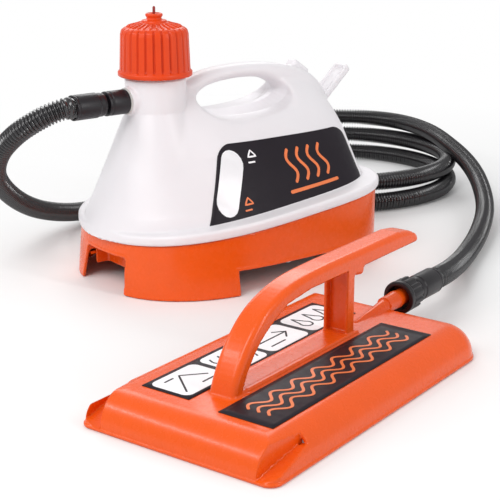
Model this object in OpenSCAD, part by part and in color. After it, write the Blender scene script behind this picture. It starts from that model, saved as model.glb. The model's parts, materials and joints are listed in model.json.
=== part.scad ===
// Kettle-type wallpaper steamer: boiler, steam hose and steam plate.
// Frame: origin on the floor under the middle of the boiler, +X to the rear, +Z up, millimetres.

/* [Boiler] */
// Distance from the middle of the base to its front edge
base_front = 163; // [150:1:175]
// Distance from the middle of the base to its rear edge
base_rear = 158; // [148:1:164]
// Half of the base's width
base_half = 124; // [116:1:128]
// Height of the seam between tank and base, at the middle
seam_z = 71.5; // [68:0.5:74]
// Rise of the seam towards the rear, per millimetre
seam_slope = 0.098; // [0.08:0.002:0.11]
// Wall of the mouldings
wall = 3; // [2.4:0.1:3.4]
// Thickness of the tank's flange
flange_h = 11; // [9:0.5:12]

/* [Neck and cap] */
// Place of the filler neck along the boiler, from the middle
neck_x = -89; // [-92:0.5:-86]
// Outer radius of the neck below the cap
neck_r = 32.5; // [31.5:0.5:33]
// Outer radius of the cap's skirt
cap_r = 37.5; // [37:0.25:38.5]
// Height of the cap's lower rim
cap_z = 220; // [218:0.5:222]
// Number of grip ribs on the cap
cap_ribs = 26; // [20:1:30]

/* [Hose] */
// Outer radius of the steam hose
hose_r = 11.5; // [10.5:0.1:11.5]
// Wall of the hose
hose_wall = 1.6; // [1.2:0.1:2]
// Height of the steam outlet's axis
outlet_z = 196; // [194:0.5:198]
// Radius of the coil in which the spare hose lies
coil_r = 155; // [150:1:158]

/* [Steam plate] */
// Length of the plate
plate_l = 342; // [330:1:350]
// Width of the plate
plate_w = 196; // [188:1:204]
// Height of the plate's top face
plate_h = 30; // [28:0.5:32]
// Width of the sloping border between the edge and the top face
plate_slope = 24; // [20:1:28]
// Angle of the plate on the floor
plate_turn = 16.4; // [12:0.2:20]
// Width of the grip
grip_w = 26; // [24:0.5:28]
// Height of the grip's top
grip_z = 107; // [104:0.5:110]

/* [Hidden] */
plate_at = [-174, -340, 0];
grip_v = -3.5;                    // the grip runs beside the middle, between the two labels
spout_z = plate_h + 2;            // axis of the plate's spout
tube_r = 8;                       // steam tubes that carry the swivel collars
tube_bore = 5.5;
run = 0.05;                       // radial clearance of a running fit
eps = 0.2;
cable_r = 3.4;
clamp_z = 37;                     // axis of the cable in its clamp
skin = 0.1;                       // gap that keeps neighbours apart
round_fn = 96;
neck_fn = 72;
ring_n = 40;                      // points round each section of the tank
front_n = 2.55;                   // how square the front and the rear of the outline are
rear_n = 4;
side_x = 20;                      // where the base is widest
cover_z = 27;                     // underside of the base cover
floor_z = 50;                     // underside of the tank
element_x = 30;

// ---------- curves and sections ----------
function power(v, e) = sign(v) * pow(abs(v), e);
// A point of a rounded outline: a front half and a rear half with their own length and squareness.
function outline_point(a, front, rear, half, mid) =
    let (n = cos(a) < 0 ? front_n : rear_n, r = cos(a) < 0 ? front + mid : rear - mid)
    [mid + r * power(cos(a), 2 / n), half * power(sin(a), 2 / n)];
function base_outline(grow, n = 72) =
    [for (i = [0 : n - 1])
        outline_point(360 * i / n, base_front + grow, base_rear + grow, base_half + grow, side_x)];

// The tank's sections from the flange up: height, slope, front, rear and half width.
sections = [
    [seam_z + flange_h - 1, seam_slope, 160, 150, 106], [100, 0.08, 155, 147, 97],
    [120, 0.05, 148, 144, 86], [145, 0.02, 138, 141, 70], [165, 0, 129, 136, 54],
    [180, 0, 121, 128, 39], [192, 0, 112, 116, 27], [200, 0, 100, 100, 17]];
function section_ring(s, grow) =
    [for (i = [0 : ring_n - 1])
        let (p = outline_point(360 * i / ring_n, s[2] + grow, s[3] + grow, s[4] + grow, side_x * 0.4))
        [p[0], p[1], s[0] + s[1] * p[0]]];
// Faces of a stack of rings with n points each, closed at both ends.
function stack_faces(rings, n) = concat(
    [[for (i = [0 : n - 1]) i]],
    [[for (i = [n - 1 : -1 : 0]) (rings - 1) * n + i]],
    [for (k = [0 : rings - 2], i = [0 : n - 1]) let (j = (i + 1) % n) [k * n + j, k * n + i, k * n + n + i]],
    [for (k = [0 : rings - 2], i = [0 : n - 1]) let (j = (i + 1) % n)
        [k * n + j, k * n + n + i, k * n + n + j]]);
module loft(rings) {
    n = len(rings[0]);
    polyhedron(points = [for (r = rings) each r], faces = stack_faces(len(rings), n));
}
module tank_loft(grow, first = 0, last = 7) {
    for (k = [first : last - 1])
        hull() loft([section_ring(sections[k], grow), section_ring(sections[k + 1], grow)]);
}

// A smooth curve through points, steps to a span.
function spline_point(p0, p1, p2, p3, t) =
    0.5 * (2 * p1 + (p2 - p0) * t + (2 * p0 - 5 * p1 + 4 * p2 - p3) * t * t
        + (3 * p1 - p0 - 3 * p2 + p3) * t * t * t);
function spline(p, steps) = let (last = len(p) - 1) concat(
    [for (i = [0 : last - 1], k = [0 : steps - 1])
        spline_point(i == 0 ? 2 * p[0] - p[1] : p[i - 1], p[i], p[i + 1],
            i == last - 1 ? 2 * p[last] - p[last - 1] : p[i + 2], k / steps)],
    [p[last]]);
function unit(v) = v / norm(v);
// Ring of radius r about a path's point, square to the path; no path here runs along lean.
lean = [0.35, 0.35, 1];
function path_ring(path, i, r, n) =
    let (t = unit(path[min(i + 1, len(path) - 1)] - path[max(i - 1, 0)]),
        side = unit(cross(t, lean)), up = cross(side, t))
    [for (k = [0 : n - 1]) path[i] + r * (cos(360 * k / n) * side + sin(360 * k / n) * up)];
module cord(path, r, n) {
    loft([for (i = [len(path) - 1 : -1 : 0]) path_ring(path, i, r, n)]);
}
// A pipe along a path: the outer rings, then the inner rings back again, closed at both mouths.
module pipe(path, r, inner_r, n) {
    m = len(path);
    rings = concat([for (i = [m - 1 : -1 : 0]) path_ring(path, i, r, n)],
        [for (i = [0 : m - 1]) path_ring(path, i, inner_r, n)]);
    all = 2 * m;
    polyhedron(points = [for (q = rings) each q],
        faces = [for (k = [0 : all - 1], i = [0 : n - 1])
            let (j = (i + 1) % n, a = k * n, b = ((k + 1) % all) * n) [a + j, a + i, b + i, b + j]]);
}
module along_x(x, r, l, z = 0) {
    translate([x, 0, z]) rotate([0, 90, 0]) cylinder(r = r, h = l, $fn = round_fn);
}
module on_plate() {
    translate(plate_at) rotate(plate_turn) children();
}
function plate_point(u, v, z) =
    plate_at + [u * cos(plate_turn) - v * sin(plate_turn), u * sin(plate_turn) + v * cos(plate_turn), z];
// Everything under the plane of the seam, raised by up.
module below_seam(up) {
    multmatrix([[1, 0, 0, 0], [0, 1, 0, 0], [seam_slope, 0, 1, seam_z + up - 400], [0, 0, 0, 1]])
        translate([-300, -300, 0]) cube([600, 600, 400]);
}

// ---------- tank ----------
// Side view of the tank's top ridge, from the neck over the grip to the rear shoulder.
ridge_top = spline([[-66, 206], [-35, 217], [0, 222], [45, 222], [85, 215], [118, 203], [138, 184],
    [146, 160]], 6);
grip_hole = spline([[-42, 190], [-26, 201], [10, 206], [48, 203], [68, 190], [48, 179], [8, 175],
    [-28, 178], [-42, 190]], 5);
module side_view(points, width) {
    translate([0, width / 2, 0]) rotate([90, 0, 0]) linear_extrude(width) polygon(points);
}
module plate_hooks() {
    translate([110, 3, 192]) rotate([0, 35, 0]) translate([-12, 0, -4]) cube([24, 12, 22]);
    translate([132, 3, 151]) rotate([0, 47.8, 0]) translate([-4.5, 0, -12]) cube([9, 22, 88]);
}
tank_screw_at = [[-124, 64], [-124, -64], [128, 78], [128, -78]];
post_h = floor_z - cover_z - wall - 2 * skin;
module tank() {
    color("white") difference() {
        union() {
            tank_loft(0);
            difference() {
                linear_extrude(140) polygon(base_outline(2.5));
                below_seam(0);
                difference() {
                    translate([-300, -300, 0]) cube([600, 600, 200]);
                    below_seam(flange_h);
                }
            }
            intersection() {
                translate([0, 0, floor_z]) linear_extrude(60) polygon(base_outline(-wall - 1.5));
                below_seam(eps);
            }
            translate([neck_x, 0, 120]) cylinder(r = neck_r, h = cap_z - 2 - 120, $fn = neck_fn);
            translate([neck_x, 0, 200]) cylinder(r = 30, h = 50, $fn = neck_fn);
            side_view(concat(ridge_top, [[90, 150], [-66, 150]]), 28);
            along_x(neck_x - neck_r - 4.5, 14.5, 30, outlet_z);
            plate_hooks();
        }
        tank_loft(-wall, 0, 4);
        intersection() {
            translate([0, 0, floor_z + wall]) linear_extrude(80) polygon(base_outline(-2 * wall - 1.5));
            below_seam(flange_h - wall);
        }
        translate([neck_x, 0, 150]) cylinder(r = 26, h = 120, $fn = neck_fn);
        side_view(grip_hole, 120);
        along_x(neck_x - neck_r - 10, tube_r + skin, 30, outlet_z);
        translate([element_x, 0, floor_z - 1]) cylinder(r = 26, h = 10, $fn = round_fn);
        for (a = [45 : 90 : 315]) translate([element_x, 0, floor_z - 1]) rotate(a)
            translate([31, 0, 0]) cylinder(r = 2.6, h = 10, $fn = 32);
        for (p = tank_screw_at) translate([p[0], p[1], floor_z - 1]) cylinder(r = 2, h = 3.5, $fn = 32);
    }
}
label_foot = seam_z + flange_h + 1.2;      // lower edge of the label, just over the flange
module tank_label() {
    color("darkslategray") intersection() {
        difference() {
            tank_loft(0.7, 0, 5);
            tank_loft(0.2, 0, 5);
        }
        rotate([90, 0, 0]) linear_extrude(140) difference() {
            offset(r = 6, $fn = 32) offset(delta = -6)
                polygon([[-86, label_foot - 86 * seam_slope], [116, label_foot + 116 * seam_slope],
                    [113, 146], [104, 151], [-46, 151], [-54, 144]]);
            hull() for (p = [[-63, 92], [-43, 132]]) translate(p) circle(r = 9, $fn = 48);
        }
    }
}

// ---------- base ----------
pocket_x = -137;                          // back of the pocket behind the front cut-out
module base_skirt() {
    color("orangered") difference() {
        intersection() {
            linear_extrude(140) polygon(base_outline(0));
            below_seam(-skin);
        }
        difference() {
            translate([0, 0, -1]) linear_extrude(160) polygon(base_outline(-wall));
            // walls of the pocket behind the front cut-out
            translate([-210, -42 - wall, 16]) cube([210 + pocket_x + wall, 69 + 2 * wall, 24 + wall]);
            // posts that carry the tank, each on a web from the wall, and a ledge for the cover
            for (p = tank_screw_at) translate([p[0], p[1], cover_z + wall + skin]) {
                cylinder(r = 7, h = post_h, $fn = 48);
                translate([-wall / 2, p[1] > 0 ? 0 : -70, 0]) cube([wall, 70, post_h]);
            }
            for (y = [-1, 1]) translate([-30, y * (base_half - 8) - 8, cover_z + wall + skin])
                cube([60, 16, 14]);
        }
        for (p = tank_screw_at) translate([p[0], p[1], cover_z]) cylinder(r = 2, h = 60, $fn = 32);
        for (y = [-1, 1]) translate([0, y * (base_half - 9), cover_z]) cylinder(r = 2, h = 12, $fn = 32);
        translate([-210, -42, -1]) cube([210 + pocket_x, 69, 41]);
        for (y = [-170, 60]) translate([-65, y, -1]) cube([162, 110, 28]);
        translate([120, -50, -1]) cube([80, 100, 28]);
    }
}
tray_in = 30;                             // the cable tray's rim, in from the skirt's outline
tray_z = 17;                              // lower edge of that rim
hub_r = 14;                               // hub in the middle of the tray, level with the skirt's foot
module base_cover() {
    color("orangered") difference() {
        union() {
            translate([0, 0, cover_z]) linear_extrude(wall) polygon(base_outline(-wall - 0.5));
            // rim under the cover, inside which the mains cable is wound
            difference() {
                translate([0, 0, tray_z]) linear_extrude(cover_z - tray_z + eps)
                    polygon(base_outline(-tray_in));
                translate([0, 0, tray_z - 1]) linear_extrude(cover_z - tray_z + 1)
                    polygon(base_outline(-tray_in - wall));
            }
            cylinder(r = hub_r, h = cover_z + eps, $fn = round_fn);
        }
        translate([0, 0, wall]) cylinder(r = hub_r - wall, h = cover_z, $fn = round_fn);
        for (p = tank_screw_at) translate([p[0], p[1], cover_z - 1]) cylinder(r = 2.2, h = 6, $fn = 32);
        for (y = [-1, 1]) translate([0, y * (base_half - 9), cover_z - 1]) cylinder(r = 2.2, h = 6, $fn = 32);
        translate([-70, 0, cover_z - 1]) cylinder(r = 6, h = 6, $fn = 48);
        for (y = [-14, 14]) translate([-46, y, cover_z - 1]) cylinder(r = 1.6, h = 6, $fn = 32);
        // notch round the front pocket
        translate([-210, -42 - wall - skin, 0])
            cube([212 + pocket_x + wall + skin, 69 + 2 * (wall + skin), 60]);
    }
}
// A screw standing on its head, with a cross slot.
module screw(r, l, head_r, head_h) {
    difference() {
        union() {
            cylinder(r = head_r, h = head_h, $fn = 32);
            cylinder(r = r, h = l, $fn = 32);
        }
        for (a = [0, 90]) rotate(a) translate([-head_r * 0.6, -0.5, -1]) cube([head_r * 1.2, 1, 1 + head_h * 0.45]);
    }
}
module cover_screws() {
    color("silver") for (y = [-1, 1]) translate([0, y * (base_half - 9), cover_z - 2.2])
        screw(1.9, 10, 3.6, 2.1);
}
module tank_screws() {
    color("silver") for (p = tank_screw_at) translate([p[0], p[1], cover_z - 2.2]) screw(1.9, 26, 3.6, 2.1);
}

// ---------- heating element ----------
module element_tube() {
    loop = spline([[-16, 12, floor_z], [-16, 12, 58], [-22, 18, 63], [-60, 34, 63], [-96, 16, 63],
        [-96, -16, 63], [-60, -34, 63], [20, -44, 63], [62, -22, 63], [62, 22, 63], [20, 40, 63],
        [0, 24, 63], [14, 2, 63], [18, -8, 60], [16, -12, 57], [16, -12, floor_z]], 5);
    translate([element_x, 0, 0]) cord(loop, 3.6, 12);
}
module heating_element() {
    color("silver") {
        element_tube();
        translate([element_x, 0, floor_z - 5]) difference() {
            cylinder(r = 36, h = 3, $fn = round_fn);
            for (a = [45 : 90 : 315]) rotate(a) translate([31, 0, -1]) cylinder(r = 2.6, h = 5, $fn = 32);
        }
        translate([element_x, 0, floor_z - 2 - eps]) cylinder(r = 25, h = 2.4, $fn = round_fn);
        for (p = [[-16, 12], [16, -12]]) translate([element_x + p[0], p[1], floor_z - 13])
            cylinder(r = 1.5, h = 9, $fn = 32);
        translate([element_x, 18, floor_z - 10]) cylinder(r = 1.5, h = 6, $fn = 32);
    }
}
module element_gasket() {
    color("black") translate([element_x, 0, floor_z - 2]) difference() {
        cylinder(r = 36, h = 2, $fn = round_fn);
        translate([0, 0, -1]) cylinder(r = 25.5, h = 4, $fn = round_fn);
        for (a = [45 : 90 : 315]) rotate(a) translate([31, 0, -1]) cylinder(r = 2.6, h = 5, $fn = 32);
    }
}
module element_nuts() {
    color("silver") for (a = [45 : 90 : 315]) translate([element_x, 0, 0]) rotate(a) translate([31, 0, 0]) {
        translate([0, 0, floor_z - 9.1]) cylinder(r = 4.6, h = 4, $fn = 6);
        translate([0, 0, floor_z - 6]) cylinder(r = 2.5, h = 9 + wall, $fn = 32);
        translate([0, 0, floor_z + wall + skin]) cylinder(r = 4.2, h = 2.4, $fn = 32);
    }
}
module thermal_cutout() {
    color("black") translate([element_x, -2, 0]) {
        translate([0, 0, floor_z - 12]) cylinder(r = 8.5, h = 6.9, $fn = 48);
        for (x = [-4, 4]) translate([x - 0.4, -2, floor_z - 17]) cube([0.8, 4, 5.2]);
    }
}
module cutout_screws() {
    color("silver") for (x = [-11, 11]) translate([element_x + x, -14, floor_z - 8.2])
        screw(1.4, 3.1, 2.8, 1.6);
}
module terminal_block() {
    color("ivory") translate([-36, -17, cover_z + wall + skin]) difference() {
        cube([14, 34, 11]);
        for (y = [6, 17, 28]) {
            translate([-1, y, 5]) rotate([0, 90, 0]) cylinder(r = 1.8, h = 16, $fn = 32);
            translate([7, y, 6]) cylinder(r = 2, h = 8, $fn = 32);
        }
    }
}
module wire(path) {
    cord(spline(path, 4), 1.3, 8);
}
wire_z = cover_z + wall + skin + 5;
module live_wire() {
    color("brown") wire([[-28, -11, wire_z], [-19, -11, wire_z], [-12, -14, wire_z], [0, -22, wire_z],
        [20, -24, wire_z], [26, -14, wire_z], [26, -4.3, wire_z]]);
}
module neutral_wire() {
    color("royalblue") wire([[-28, 0, wire_z], [-20, 0, wire_z], [-4, 6, wire_z], [8, 10, 34.5],
        [11.6, 11.9, 34.5]]);
}
module earth_wire() {
    color("limegreen") wire([[-28, 11, wire_z], [-19, 11, wire_z], [-12, 15, wire_z], [0, 24, wire_z],
        [20, 26, wire_z], [27, 20.6, 37]]);
}

// ---------- mains cable ----------
module cable_grommet() {
    color("black") translate([-70, 0, 0]) difference() {
        union() {
            translate([0, 0, cover_z - 2]) cylinder(r = 8.5, h = 1.9, $fn = 48);
            translate([0, 0, cover_z - 0.2]) cylinder(r = 5.9, h = wall + 0.4, $fn = 48);
            translate([0, 0, cover_z + wall + 0.1]) cylinder(r = 8.5, h = 1.9, $fn = 48);
        }
        translate([0, 0, cover_z - 5]) cylinder(r = 3.6, h = 12, $fn = 48);
    }
}
module cable_clamp() {
    color("ivory") difference() {
        translate([-51, -19, cover_z + wall + skin]) cube([10, 38, 13]);
        translate([-52, 0, clamp_z]) rotate([0, 90, 0]) cylinder(r = cable_r + eps, h = 12, $fn = 48);
        for (y = [-14, 14]) translate([-46, y, cover_z]) cylinder(r = 1.6, h = 14, $fn = 32);
    }
}
module clamp_screws() {
    color("silver") for (y = [-14, 14]) translate([-46, y, cover_z - 2]) screw(1.5, 14, 2.8, 1.9);
}
// The cable runs through the clamp and the grommet, then winds inwards in its tray to the plug.
cable_turns = 3;
coil_z = 19.6;                            // height of the wound cable
plug_z = 13;
function tray_point(a, inset, z) = let (p = outline_point(a, base_front - inset, base_rear - inset,
    base_half - inset, side_x)) [p[0], p[1], z];
cable_path = concat(
    spline([[-38.5, 0, clamp_z], [-52, 0, clamp_z], [-63, 0, clamp_z - 0.5], [-69, 0, 34], [-70, 0, 29],
        [-70, 0, 24], [-72, 0, 17], [-80, 0, 12.8], [-104, 1, 12.5], [-117, 6, 12.8], [-123, 20, 15]], 4),
    [for (i = [0 : cable_turns * 24 - 10])
        tray_point(158 - 15 * i, tray_in + wall + 6 + 7.6 * i / 24, coil_z)],
    spline([[66, -59, coil_z - 1], [54, -54, plug_z + 2], [49, -45, plug_z], [48, -38, plug_z],
        [48, -30, plug_z]], 4));
module mains_cable() {
    color("black") cord(cable_path, cable_r, 8);
}
module plug_body() {
    color("black") difference() {
        union() {
            translate([48, 0, plug_z - 9.6]) linear_extrude(20) offset(r = 8, $fn = 32)
                square([34, 32], center = true);
            translate([48, -23, plug_z]) rotate([90, 0, 0]) cylinder(r1 = 7, r2 = 4.8, h = 14, $fn = 48);
        }
        translate([48, -28, plug_z]) rotate([90, 0, 0]) cylinder(r = cable_r + skin, h = 12, $fn = 48);
    }
}
module plug_pins() {
    color("goldenrod") {
        translate([46, 24 + skin, plug_z - 4]) cube([4, 16, 8]);
        for (x = [-11, 11]) translate([48 + x - 3.2, 24 + skin, plug_z - 2]) cube([6.4, 14, 4]);
    }
}

// ---------- steam outlet ----------
outlet_face = neck_x - neck_r - 4.5;      // flat face of the tank's outlet boss
collar_l = 24;
sleeve_l = 37;
module outlet_spigot() {
    color("black") difference() {
        along_x(outlet_face - 48, tube_r - run, 48 + 22, outlet_z);
        along_x(outlet_face - 60, tube_bore, 100, outlet_z);
    }
}
module outlet_nut() {
    color("black") translate([outlet_face + 14.1, 0, outlet_z]) rotate([0, 90, 0]) difference() {
        cylinder(r = 12, h = 5, $fn = 6);
        translate([0, 0, -1]) cylinder(r = tube_r, h = 8, $fn = round_fn);
    }
}
module outlet_washer() {
    color("white") difference() {
        along_x(outlet_face - 1.6 - skin, 13.8, 1.6, outlet_z);
        along_x(outlet_face - 5, tube_r + skin, 10, outlet_z);
    }
}
module outlet_collar() {
    color("black") difference() {
        along_x(outlet_face - 2 - collar_l, 12.9, collar_l, outlet_z);
        along_x(outlet_face - 60, tube_r, 70, outlet_z);
        for (a = [0 : 60 : 300]) translate([outlet_face - 2 - collar_l + 4, 0, outlet_z])
            rotate([a, 0, 0]) translate([0, -1.5, 12]) cube([15, 3, 3]);
    }
}
outlet_mouth = outlet_face - 2 - collar_l - 2 - sleeve_l;   // end of the sleeve where the hose leaves
module outlet_sleeve() {
    color("black") difference() {
        along_x(outlet_mouth, 13.2, sleeve_l, outlet_z);
        along_x(outlet_mouth + 10, tube_r, 40, outlet_z);
        along_x(outlet_mouth - 5, hose_r + skin, 18, outlet_z);
    }
}

// ---------- hose ----------
layer = 2 * hose_r + 1;
function smooth(t) = let (c = min(max(t, 0), 1)) c * c * (3 - 2 * c);
// A turn lies flat, then climbs one layer and shifts over in the last third of its round.
function coil_point(a) =
    let (turns = (110 - a) / 360, whole = floor(turns), climb = smooth((turns - whole - 0.64) / 0.26),
        shift = min(whole + climb, 1))
    [337 + 8 * shift + coil_r * cos(a), 191 + 9 * shift + coil_r * sin(a),
        hose_r + layer * (whole + climb)];
sleeve_mouth = plate_point(245, 0, spout_z);
hose_in = plate_point(233.5, 0, spout_z);
hose_path = concat(
    spline([[outlet_mouth + 12.5, 0, outlet_z], [outlet_mouth, 0, outlet_z], [outlet_mouth - 11, 0, outlet_z],
        [-221, 12, 187], [-238, 36, 168], [-241, 70, 141], [-226, 108, 108], [-187, 147, 71],
        [-134, 185, 40], [-70, 215, 20], [0, 243, hose_r + 1], [90, 272, hose_r], [190, 304, hose_r]], 5),
    [for (a = [110 : -9 : -610]) coil_point(a)],
    spline([[347, 358, 2 * layer + hose_r], [420, 343, 2 * layer + hose_r], [477, 303, 2 * layer + hose_r],
        [502, 240, 2 * layer + hose_r], [491, 166, 2 * layer + hose_r - 1], [461, 92, 53], [431, 29, 44],
        [392, -29, 33], [340, -86, 21], [270, -141, 14], [190, -194, 14], [120, -240, 24],
        plate_point(260, 0, spout_z), sleeve_mouth, hose_in], 5));
module hose() {
    color("black") pipe(hose_path, hose_r, hose_r - hose_wall, 9);
}

// ---------- cap and relief valve ----------
module cap_profile() {
    polygon([[0, cap_z], [cap_r + 2, cap_z], [cap_r + 2, cap_z + 4], [cap_r, cap_z + 6],
        [cap_r - 1.5, cap_z + 44], [cap_r - 6, cap_z + 50], [cap_r - 14, cap_z + 54], [10, cap_z + 58],
        [6.5, cap_z + 60], [8.5, cap_z + 65], [0, cap_z + 65]]);
}
module cap() {
    color("orangered") translate([neck_x, 0, 0]) difference() {
        rotate_extrude($fn = round_fn) cap_profile();
        translate([0, 0, cap_z - 1]) cylinder(r = 30 + run, h = 1 + 34, $fn = round_fn);
        translate([0, 0, cap_z - 1]) cylinder(r = neck_r + 0.8, h = 3, $fn = round_fn);
        // port, valve chamber and the hole that guides the pin
        translate([0, 0, cap_z + 33]) cylinder(r = 3.5, h = 16, $fn = 48);
        translate([0, 0, cap_z + 47]) cylinder(r = 5.6, h = 15, $fn = 48);
        translate([0, 0, cap_z + 50]) cylinder(r = 1.5 + run, h = 20, $fn = 48);
        for (k = [0 : cap_ribs - 1]) rotate(360 * (k + 0.5) / cap_ribs)
            translate([cap_r - 2.2, -1.1, cap_z + 7]) cube([6, 2.2, 36]);
    }
}
module cap_seal() {
    color("gray") translate([neck_x, 0, cap_z + 30 + skin]) difference() {
        cylinder(r = 29.8, h = 3.2, $fn = round_fn);
        translate([0, 0, -1]) cylinder(r = 24, h = 6, $fn = round_fn);
    }
}
module valve_seat() {
    color("gray") translate([neck_x, 0, cap_z + 47 + skin]) difference() {
        cylinder(r = 5.4, h = 1.2, $fn = 48);
        translate([0, 0, -1]) cylinder(r = 3, h = 4, $fn = 48);
    }
}
spring_low = cap_z + 51.4;
spring_high = cap_z + 61.4;
module valve_spring() {
    color("silver") translate([neck_x, 0, 0])
        cord([for (i = [0 : 64]) [3.8 * cos(22.5 * i), 3.8 * sin(22.5 * i),
            spring_low + (spring_high - spring_low) * i / 64]], 0.45, 6);
}
module relief_pin() {
    color("firebrick") translate([neck_x, 0, 0]) {
        translate([0, 0, cap_z + 48.5]) cylinder(r = 5, h = 1.8, $fn = 48);
        translate([0, 0, cap_z + 49]) cylinder(r = 1.5, h = 22, $fn = 48);
        translate([0, 0, cap_z + 70.5]) cylinder(r1 = 1.5, r2 = 0.8, h = 1.5, $fn = 48);
    }
}

// ---------- steam plate ----------
collar_u = 177;
sleeve_u = 204;
module plate_slab(inset, z) {
    translate([0, 0, z]) linear_extrude(0.4) offset(r = 10, $fn = 32)
        square([plate_l - 2 * inset - 20, plate_w - 2 * inset - 20], center = true);
}
// Heights of the plate's section, each with its share of the sloping border.
plate_steps = [[0, 0], [0.17, 0], [0.6, 0.3], [0.87, 0.6], [1, 1]];
module plate_form(inset, drop) {
    for (k = [0 : 3]) hull() for (s = [plate_steps[k], plate_steps[k + 1]])
        plate_slab(inset + plate_slope * s[1], (plate_h - 0.4) * s[0] - drop);
}
// Side view of the handle: front leg, grip with its rear overhang, and the post under it.
handle_outer = concat(
    spline([[-114, plate_h - 1], [-105.5, 47], [-90.5, 69], [-69, 88], [-42, 99.5], [-10, 105.5],
        [30, grip_z]], 4),
    spline([[150, grip_z], [170, grip_z - 3], [183, grip_z - 9], [181, grip_z - 18], [150, grip_z - 24]], 3),
    [[84, grip_z - 24], [72, grip_z - 22], [72, plate_h - 1]]);
handle_hole = concat([[58, plate_h + 4], [58, grip_z - 14], [0, grip_z - 13.5]],
    spline([[-35, 89.5], [-58, 78.5], [-76, 66], [-90.5, 49], [-98.5, plate_h + 4]], 4));
channel_d = 6.5;                          // depth of the channel along the inside of the handle
module steam_plate() {
    color("orangered") on_plate() {
        difference() {
            union() {
                plate_form(0, 0);
                translate([0, grip_v, 0]) side_view(handle_outer, grip_w);
                translate([100, 0, spout_z - 1]) rotate([0, 90, 0]) cylinder(r1 = 1, r2 = 10, h = 66, $fn = 64);
                translate([150, 0, spout_z]) rotate([0, 90, 0]) cylinder(r = tube_r - run, h = 80, $fn = round_fn);
            }
            plate_form(wall, wall);
            translate([0, grip_v, 0]) side_view(handle_hole, grip_w + 10);
            // the handle is a channel, open inwards
            translate([0, grip_v + grip_w / 2 - wall, 0]) rotate([90, 0, 0]) linear_extrude(grip_w - 2 * wall)
                intersection() {
                    offset(delta = channel_d) polygon(handle_hole);
                    translate([-140, plate_h + 4]) square([300, 80]);
                }
            translate([130, 0, spout_z]) rotate([0, 90, 0]) cylinder(r = tube_bore, h = 120, $fn = round_fn);
            translate([136, 0, 10]) cylinder(r = tube_bore, h = spout_z - 10, $fn = 48);
            // the grip's rear end is open underneath, and deeper on its far side
            translate([84, grip_v - grip_w / 2 + wall, grip_z - 40]) cube([120, grip_w - 2 * wall, 35]);
            translate([84, grip_v - grip_w / 2 - 1, grip_z - 40]) cube([120, wall + 2, 25]);
            // groove for the sealing ring
            translate([214, 0, spout_z]) rotate([0, 90, 0]) difference() {
                cylinder(r = tube_r + 2, h = 3, $fn = round_fn);
                translate([0, 0, -1]) cylinder(r = tube_r - 1.6, h = 5, $fn = round_fn);
            }
        }
        // ribs inside that stiffen the top
        for (u = [-90, 0, 80]) translate([u - 1, -plate_w / 2 + 40, plate_h - 10]) cube([2, plate_w - 80, 8]);
    }
}
module spout_ring() {
    color("black") on_plate() translate([214.2, 0, spout_z]) rotate([0, 90, 0]) difference() {
        cylinder(r = tube_r - run, h = 2.6, $fn = round_fn);
        translate([0, 0, -1]) cylinder(r = tube_r - 1.5, h = 5, $fn = round_fn);
    }
}
module plate_collar() {
    color("black") on_plate() translate([collar_u, 0, spout_z]) rotate([0, 90, 0]) difference() {
        union() {
            cylinder(r = 14.6, h = 24, $fn = round_fn);
            for (k = [0 : 11]) rotate(30 * k) translate([13, -2.2, 5]) cube([3.2, 4.4, 19]);
            cylinder(r = 16.4, h = 6, $fn = round_fn);
        }
        translate([0, 0, -1]) cylinder(r = 12, h = 13, $fn = round_fn);
        translate([0, 0, -1]) cylinder(r = tube_r, h = 40, $fn = round_fn);
    }
}
module plate_sleeve() {
    color("black") on_plate() translate([sleeve_u, 0, spout_z]) rotate([0, 90, 0]) difference() {
        cylinder(r = 13.2, h = 41, $fn = round_fn);
        translate([0, 0, -1]) cylinder(r = tube_r, h = 60, $fn = round_fn);
        translate([0, 0, 28]) cylinder(r = hose_r + skin, h = 30, $fn = round_fn);
    }
}
module plate_sticker(u0, u1, v0, v1) {
    on_plate() translate([u0, v0, plate_h + skin]) cube([u1 - u0, v1 - v0, 0.5]);
}
module badge_label() {
    color("darkslategray") plate_sticker(-136, 111, -72, -20);
}
module guide_label() {
    color("white") plate_sticker(-131, 120, 13, 62);
}

tank();
base_skirt();
base_cover();
cover_screws();
tank_screws();
tank_label();
heating_element();
element_gasket();
element_nuts();
thermal_cutout();
cutout_screws();
terminal_block();
live_wire();
neutral_wire();
earth_wire();
cable_grommet();
cable_clamp();
clamp_screws();
mains_cable();
plug_body();
plug_pins();
outlet_spigot();
outlet_nut();
outlet_washer();
outlet_collar();
outlet_sleeve();
hose();
cap();
cap_seal();
valve_seat();
valve_spring();
relief_pin();
plate_sleeve();
plate_collar();
steam_plate();
spout_ring();
badge_label();
guide_label();
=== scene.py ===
"""Looks of the wallpaper steamer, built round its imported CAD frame.

Lengths are in millimetres until make_mesh turns them into metres.
"""
import json
import math

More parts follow.
